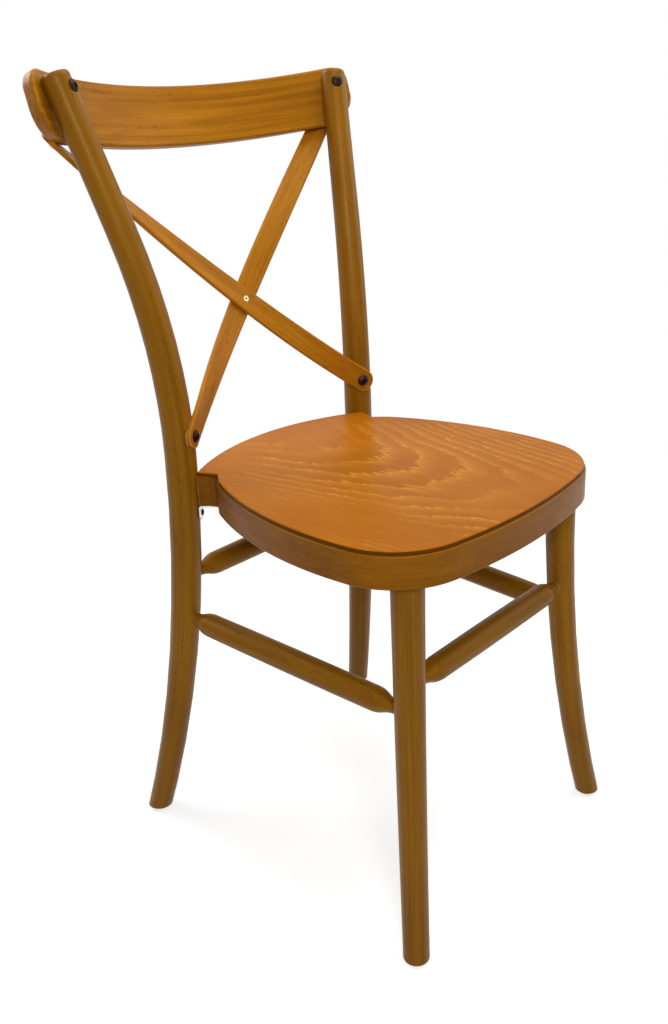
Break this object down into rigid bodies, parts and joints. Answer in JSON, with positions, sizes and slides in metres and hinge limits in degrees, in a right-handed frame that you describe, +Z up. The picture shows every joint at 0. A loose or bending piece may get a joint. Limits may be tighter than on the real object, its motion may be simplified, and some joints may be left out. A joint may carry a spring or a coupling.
{
  "type": "cross back chair",
  "caption": "Wooden dining chair with bent round posts and legs, a rounded plywood seat, crossed back slats and a curved crest rail.",
  "frame": {"origin": "on the floor under the middle of the chair's bounding box", "axes": "+Z up, -Y towards the chair's front, +X towards the sitter's left"},
  "size_m": [0.4574, 0.5331, 0.8844],
  "materials": {
    "beech": "satin lacquered stain",
    "plywood": "satin lacquered stain",
    "black_steel": "black oxide",
    "zinc_steel": "zinc plated",
    "brass": "plain",
    "glide_plastic": "matte"
  },
  "bodies": {
    "root": {"rear_post_right": "beech", "rear_post_left": "beech", "front_leg_right": "beech", "front_leg_left": "beech", "seat_frame": "beech", "seat_panel": "plywood", "crest_rail": "beech", "cross_slat_front": "beech", "cross_slat_rear": "beech", "slat_rivet": "brass", "side_stretcher_right": "beech", "side_stretcher_left": "beech", "front_stretcher": "beech", "rear_stretcher": "beech", "crest_bolts": "black_steel", "crest_inserts": "brass", "slat_bolts": "black_steel", "slat_inserts": "brass", "slat_screws": "zinc_steel", "seat_dowels": "beech", "seat_bracket_right": "zinc_steel", "seat_bracket_left": "zinc_steel", "bracket_screws": "black_steel", "foot_glides": "glide_plastic", "glide_nails": "zinc_steel"}
  },
  "joints": []
}
